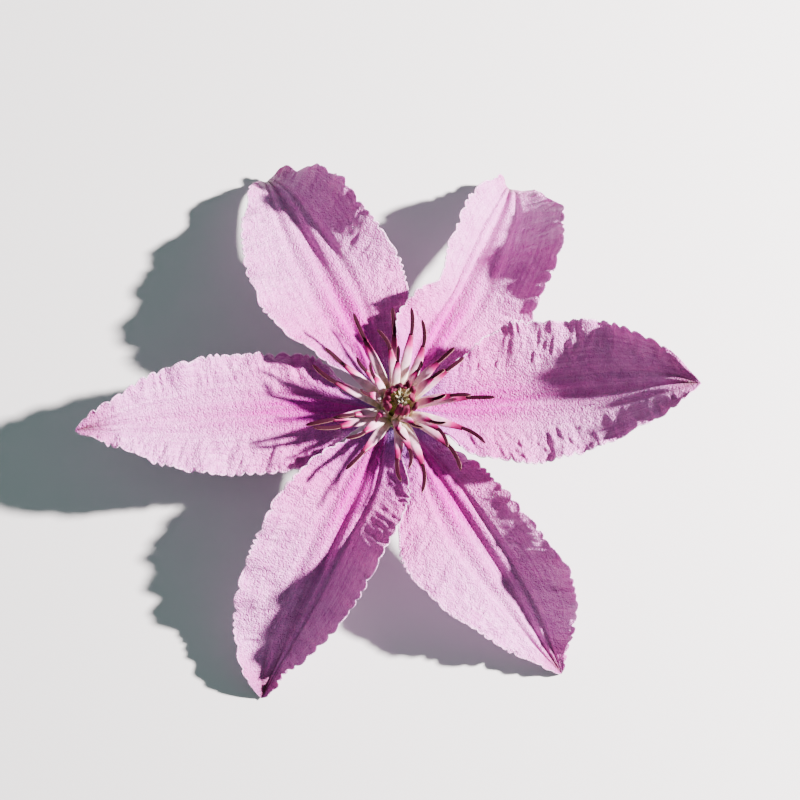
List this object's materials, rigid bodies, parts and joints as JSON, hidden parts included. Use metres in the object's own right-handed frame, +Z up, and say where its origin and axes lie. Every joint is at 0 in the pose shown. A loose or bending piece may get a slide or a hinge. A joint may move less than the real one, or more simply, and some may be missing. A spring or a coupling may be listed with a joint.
{
  "type": "clematis flower",
  "caption": "Open pink-mauve clematis bloom with long ruffled sepals, magenta-tipped stamens and a short cut stalk, resting face up on four of its sepal tips.",
  "frame": {"origin": "under the middle of the flower's outline, on the surface that four of its sepal tips rest on", "axes": "+Z up out of the flower's face, +Y towards the top of the pictured flower, +X towards its right-hand sepal"},
  "size_m": [0.1183, 0.1094, 0.035],
  "materials": {
    "sepal": "soft matte petal, pink-mauve with a deeper pink bar along the middle",
    "stamen": "soft satin, cream at the foot through pink to magenta, with dark maroon anthers",
    "style": "soft matte cream",
    "stalk": "fresh green, faintly downy"
  },
  "bodies": {
    "root": {"sepal_1": "sepal", "sepal_2": "sepal", "sepal_3": "sepal", "sepal_4": "sepal", "sepal_5": "sepal", "sepal_6": "sepal", "stamens": "stamen", "pistil": "style", "stalk": "stalk"}
  },
  "joints": []
}
